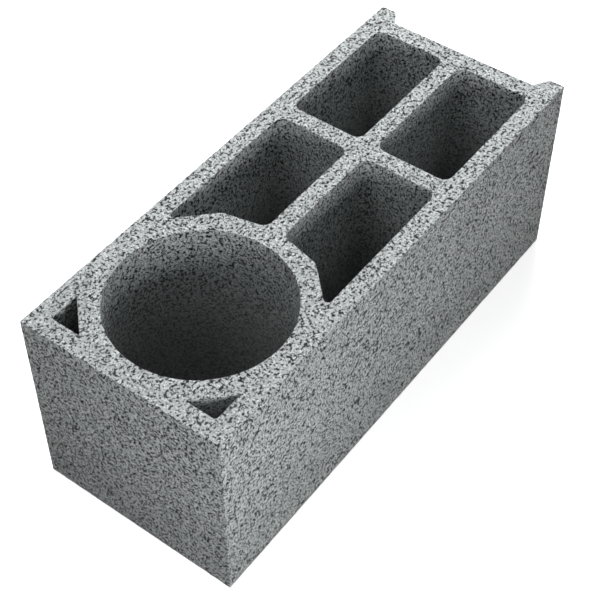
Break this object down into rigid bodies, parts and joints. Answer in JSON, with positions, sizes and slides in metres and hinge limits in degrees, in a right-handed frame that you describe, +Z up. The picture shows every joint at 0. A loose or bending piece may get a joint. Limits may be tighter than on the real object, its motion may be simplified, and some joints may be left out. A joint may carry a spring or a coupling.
{
  "type": "hollow concrete corner block",
  "caption": "Hollow concrete corner block with a round hole for a cast-in post at one end, open-topped cells, and a mortar recess between two ears at the other end.",
  "frame": {"origin": "middle of the bed, the face that the block stands on", "axes": "+X along the block from the post-hole end towards the ears, +Y across it, +Z up towards the open side of the cells"},
  "size_m": [0.5, 0.2, 0.2],
  "materials": {
    "concrete": "rough grey concrete, cast, with open pores and dark specks"
  },
  "bodies": {
    "root": {"block": "concrete"}
  },
  "joints": []
}
